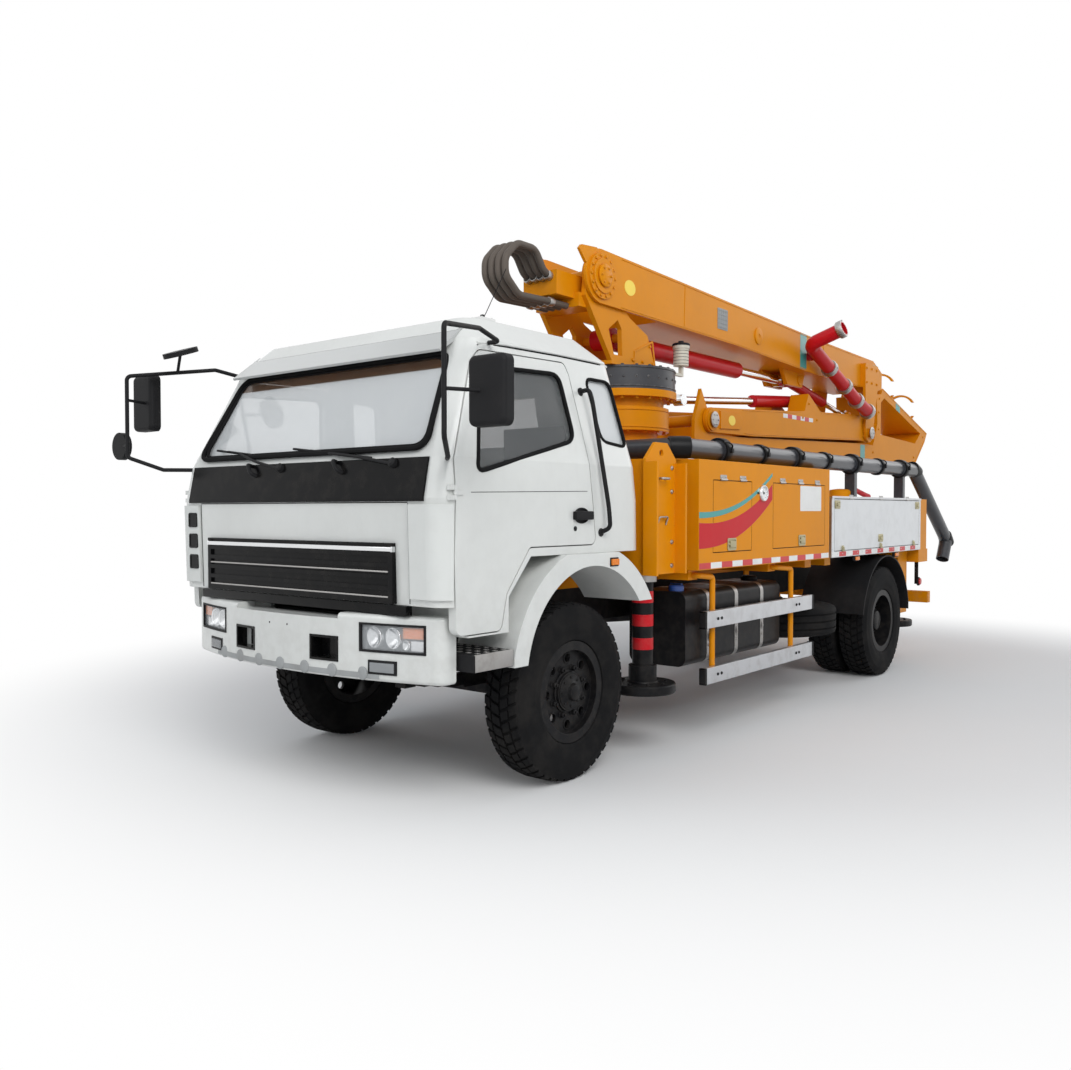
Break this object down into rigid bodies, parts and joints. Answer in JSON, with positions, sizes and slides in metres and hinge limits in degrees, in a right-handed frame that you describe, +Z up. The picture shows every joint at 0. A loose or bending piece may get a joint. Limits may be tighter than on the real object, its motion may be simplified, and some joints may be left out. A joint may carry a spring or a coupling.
{
  "type": "concrete pump truck",
  "caption": "Small orange and white truck-mounted concrete pump with a folding placing boom, outriggers, side boxes and hopper",
  "frame": {"origin": "centre of the bounding box at ground level", "axes": "+X forward along the truck, +Y to its left, +Z up"},
  "size_m": [10.232, 3.1398, 3.43],
  "materials": {
    "tyre_rubber": "moulded rubber",
    "rim_black": "semi-gloss paint",
    "cast_dark": "painted casting",
    "frame_black": "satin paint",
    "cab_white": "gloss paint",
    "window_glass": "clear",
    "cab_trim": "grained",
    "gloss_black": "gloss",
    "bumper_white": "gloss paint",
    "lamp_clear": "clear",
    "plastic_black": "grained",
    "body_orange": "gloss paint",
    "toolbox_aluminium": "mill finish sheet",
    "tank_black": "satin paint",
    "rail_aluminium": "anodised",
    "jack_steel": "satin paint",
    "drum_grey": "satin paint",
    "pot_plastic": "translucent",
    "hose_rubber": "ribbed",
    "pipe_red": "gloss paint",
    "cylinder_red": "gloss paint",
    "rod_chrome": "polished",
    "pipe_steel": "gunmetal paint"
  },
  "bodies": {
    "truck": {"chassis_frame": "frame_black", "leaf_springs": "frame_black", "power_train": "cast_dark", "axles": "cast_dark", "cab_shell": "cab_white", "fenders": "cab_white", "cab_glass": "window_glass", "cab_interior": "cab_trim", "front_panels": "gloss_black", "front_bumper": "bumper_white", "headlamps": "lamp_clear", "mudguards": "plastic_black", "mirrors": "plastic_black", "pump_subframe": "body_orange", "pedestal": "body_orange", "side_boxes": "body_orange", "toolboxes": "toolbox_aluminium", "side_tanks": "tank_black", "side_guards": "rail_aluminium", "guard_hoops": "body_orange", "spare_wheel": "tyre_rubber", "delivery_pipe": "pipe_steel", "hopper": "body_orange", "pump_cylinders": "cylinder_red", "rear_bumper": "body_orange"},
    "front_wheel_left": {"front_tyre_left": "tyre_rubber", "front_rim_left": "rim_black"},
    "knuckle_left": {"knuckle_left": "cast_dark"},
    "rear_wheels_left": {"rear_tyres_left": "tyre_rubber", "rear_rims_left": "rim_black"},
    "door_left": {"door_left": "cab_white", "door_glass_left": "window_glass"},
    "outrigger_left": {"outrigger_left": "body_orange"},
    "front_jack_left": {"front_jack_left": "jack_steel"},
    "rear_jack_left": {"rear_jack_left": "jack_steel"},
    "front_wheel_right": {"front_tyre_right": "tyre_rubber", "front_rim_right": "rim_black"},
    "knuckle_right": {"knuckle_right": "cast_dark"},
    "rear_wheels_right": {"rear_tyres_right": "tyre_rubber", "rear_rims_right": "rim_black"},
    "door_right": {"door_right": "cab_white", "door_glass_right": "window_glass"},
    "outrigger_right": {"outrigger_right": "body_orange"},
    "front_jack_right": {"front_jack_right": "jack_steel"},
    "rear_jack_right": {"rear_jack_right": "jack_steel"},
    "column": {"slew_drum": "drum_grey", "turret": "body_orange", "grease_pot": "pot_plastic", "hose_bundle": "hose_rubber"},
    "boom_1": {"boom_1": "body_orange", "boom_pipes": "pipe_red"},
    "luff_barrel": {"luff_barrel": "cylinder_red"},
    "luff_rod": {"luff_rod": "rod_chrome"},
    "arm_2": {"arm_2": "body_orange"},
    "arm_2_barrel": {"arm_2_barrel": "body_orange"},
    "arm_2_rod": {"arm_2_rod": "rod_chrome"},
    "arm_3": {"arm_3": "body_orange"},
    "arm_3_barrel": {"arm_3_barrel": "body_orange"},
    "arm_3_rod": {"arm_3_rod": "rod_chrome"},
    "hopper_grate": {"hopper_grate": "frame_black"}
  },
  "joints": [
    {"name": "steer_left", "type": "hinge", "parent": "truck", "child": "knuckle_left", "pos_m": [3.754, 0.74, 0.509], "axis": [0, 0, 1], "range_deg": [-35, 35]},
    {"name": "front_wheel_left_spin", "type": "hinge", "parent": "knuckle_left", "child": "front_wheel_left", "pos_m": [3.754, 0.93, 0.509], "axis": [0, 1, 0], "continuous": true},
    {"name": "rear_wheels_left_spin", "type": "hinge", "parent": "truck", "child": "rear_wheels_left", "pos_m": [-0.946, 1.035, 0.509], "axis": [0, 1, 0], "continuous": true},
    {"name": "door_left_open", "type": "hinge", "parent": "truck", "child": "door_left", "pos_m": [4.81, 1.136, 1.5], "axis": [0, 0, -1], "range_deg": [0, 70]},
    {"name": "outrigger_left_out", "type": "slide", "parent": "truck", "child": "outrigger_left", "axis": [0, 1, 0], "range_m": [0, 0.8]},
    {"name": "front_jack_left_down", "type": "slide", "parent": "outrigger_left", "child": "front_jack_left", "axis": [0, 0, -1], "range_m": [0, 0.6]},
    {"name": "rear_jack_left_down", "type": "slide", "parent": "truck", "child": "rear_jack_left", "axis": [0, 0, -1], "range_m": [0, 0.6]},
    {"name": "steer_right", "type": "hinge", "parent": "truck", "child": "knuckle_right", "pos_m": [3.754, -0.74, 0.509], "axis": [0, 0, 1], "range_deg": [-35, 35]},
    {"name": "front_wheel_right_spin", "type": "hinge", "parent": "knuckle_right", "child": "front_wheel_right", "pos_m": [3.754, -0.93, 0.509], "axis": [0, 1, 0], "continuous": true},
    {"name": "rear_wheels_right_spin", "type": "hinge", "parent": "truck", "child": "rear_wheels_right", "pos_m": [-0.946, -1.035, 0.509], "axis": [0, 1, 0], "continuous": true},
    {"name": "door_right_open", "type": "hinge", "parent": "truck", "child": "door_right", "pos_m": [4.81, -1.136, 1.5], "axis": [0, 0, 1], "range_deg": [0, 70]},
    {"name": "outrigger_right_out", "type": "slide", "parent": "truck", "child": "outrigger_right", "axis": [0, -1, 0], "range_m": [0, 0.8]},
    {"name": "front_jack_right_down", "type": "slide", "parent": "outrigger_right", "child": "front_jack_right", "axis": [0, 0, -1], "range_m": [0, 0.6]},
    {"name": "rear_jack_right_down", "type": "slide", "parent": "truck", "child": "rear_jack_right", "axis": [0, 0, -1], "range_m": [0, 0.6]},
    {"name": "slew", "type": "hinge", "parent": "truck", "child": "column", "pos_m": [1.754, 0, 2.455], "axis": [0, 0, 1], "range_deg": [-135, 135]},
    {"name": "boom_luff", "type": "hinge", "parent": "column", "child": "boom_1", "pos_m": [2.364, 0, 3.235], "axis": [0, 1, 0], "range_deg": [0, 85]},
    {"name": "arm_2_fold", "type": "hinge", "parent": "boom_1", "child": "arm_2", "pos_m": [-2.836, 0, 2.42], "axis": [0, 1, 0], "range_deg": [0, 180]},
    {"name": "arm_3_fold", "type": "hinge", "parent": "arm_2", "child": "arm_3", "pos_m": [0.764, 0, 2.315], "axis": [0, -1, 0], "range_deg": [0, 180]},
    {"name": "luff_barrel_tilt", "type": "hinge", "parent": "column", "child": "luff_barrel", "pos_m": [1.954, 0, 2.86], "axis": [0, 1, 0], "range_deg": [0, 88]},
    {"name": "luff_rod_out", "type": "slide", "parent": "luff_barrel", "child": "luff_rod", "axis": [-1, 0, 0.0026], "range_m": [0, 0.76]},
    {"name": "arm_2_barrel_tilt", "type": "hinge", "parent": "boom_1", "child": "arm_2_barrel", "pos_m": [-1.346, 0, 2.88], "axis": [0, -1, 0], "range_deg": [0, 20]},
    {"name": "arm_2_rod_in", "type": "slide", "parent": "arm_2_barrel", "child": "arm_2_rod", "axis": [0.9878, 0, 0.1556], "range_m": [0, 0.3]},
    {"name": "arm_3_barrel_tilt", "type": "hinge", "parent": "arm_2", "child": "arm_3_barrel", "pos_m": [-1.246, 0, 2.66], "axis": [0, 1, 0], "range_deg": [0, 20]},
    {"name": "arm_3_rod_in", "type": "slide", "parent": "arm_3_barrel", "child": "arm_3_rod", "axis": [-0.9969, 0, 0.0788], "range_m": [0, 0.3]},
    {"name": "grate_open", "type": "hinge", "parent": "truck", "child": "hopper_grate", "pos_m": [-2.85, 0, 1.54], "axis": [0, 1, 0], "range_deg": [0, 75]}
  ],
  "couplings": [
    {"joint": "arm_2_fold", "follows": "boom_luff", "ratio": 1},
    {"joint": "arm_3_fold", "follows": "boom_luff", "ratio": 1},
    {"joint": "luff_barrel_tilt", "follows": "boom_luff", "ratio": 1.011},
    {"joint": "luff_rod_out", "follows": "boom_luff", "m_per_rad": 0.5045},
    {"joint": "arm_2_barrel_tilt", "follows": "boom_luff", "ratio": 0.1356},
    {"joint": "arm_2_rod_in", "follows": "boom_luff", "m_per_rad": 0.0909},
    {"joint": "arm_3_barrel_tilt", "follows": "boom_luff", "ratio": 0.0452},
    {"joint": "arm_3_rod_in", "follows": "boom_luff", "m_per_rad": 0.1499},
    {"joint": "steer_right", "follows": "steer_left", "ratio": 1}
  ]
}
